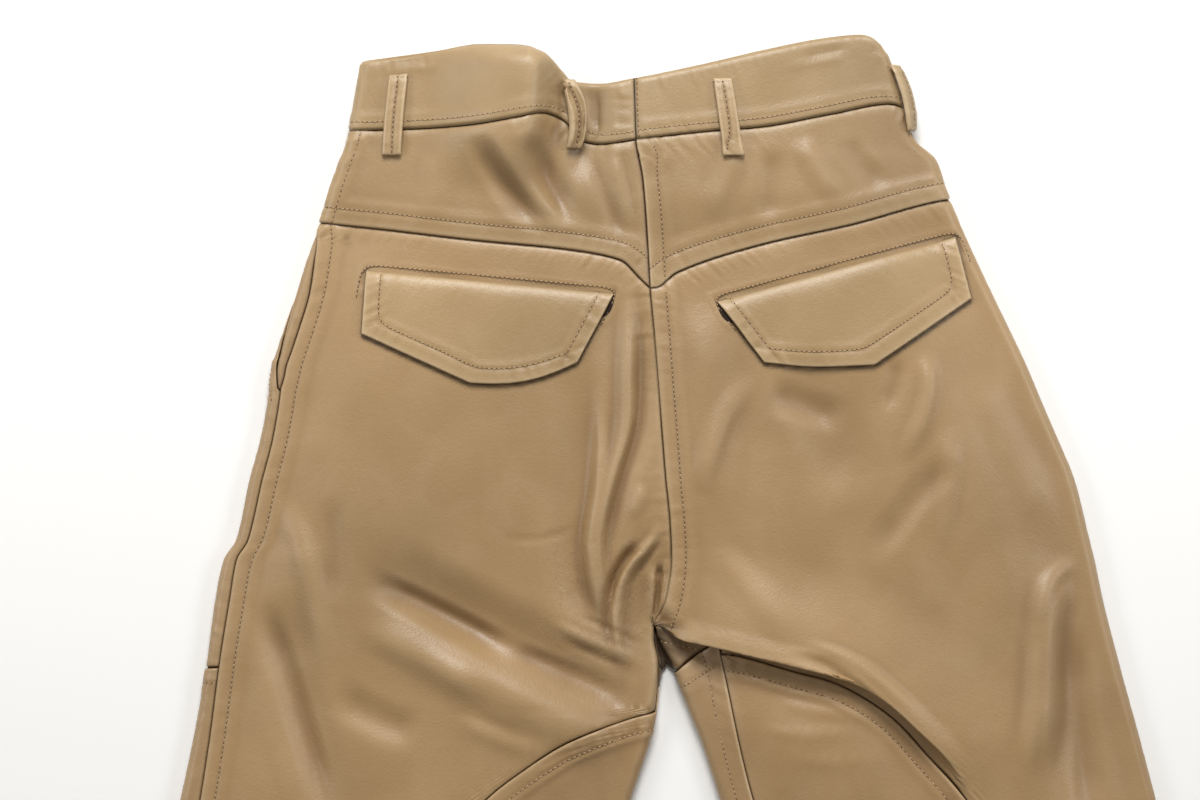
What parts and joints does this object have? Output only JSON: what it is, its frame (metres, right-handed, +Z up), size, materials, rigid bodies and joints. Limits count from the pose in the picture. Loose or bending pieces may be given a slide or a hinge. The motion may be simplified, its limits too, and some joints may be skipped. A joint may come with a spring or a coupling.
{
  "type": "leather_trousers",
  "caption": "High-waisted straight leather trousers laid flat on their front, with a back yoke, slanted flap pockets, curved inner leg pieces and belt loops",
  "frame": {"origin": "middle of the laid garment's box, on the surface it lies on", "axes": "+Y to the waist, +X to the right of someone who looks down on the back, +Z up from the surface"},
  "size_m": [0.7282, 1.0996, 0.0395],
  "materials": {
    "leather": "soft tan lamb leather with a low sheen",
    "zip_tape": "woven tape",
    "zip_metal": "antique brass",
    "thread": "waxed sewing thread"
  },
  "bodies": {
    "root": {"waistband_left": "leather", "waistband_right": "leather", "yoke_left": "leather", "yoke_right": "leather", "back_left": "leather", "back_right": "leather", "back_inner_leg_left": "leather", "back_inner_leg_right": "leather", "pocket_facing_left": "leather", "pocket_facing_right": "leather", "front_left": "leather", "front_right": "leather", "front_leg_left": "leather", "front_leg_right": "leather", "flap_left": "leather", "flap_right": "leather", "belt_loop_1": "leather", "belt_loop_2": "leather", "belt_loop_3": "leather", "belt_loop_4": "leather", "belt_loop_5": "leather", "belt_loop_6": "leather", "fly_zip": "zip_tape", "zip_slider": "zip_metal", "waist_hook": "zip_metal"}
  },
  "joints": []
}
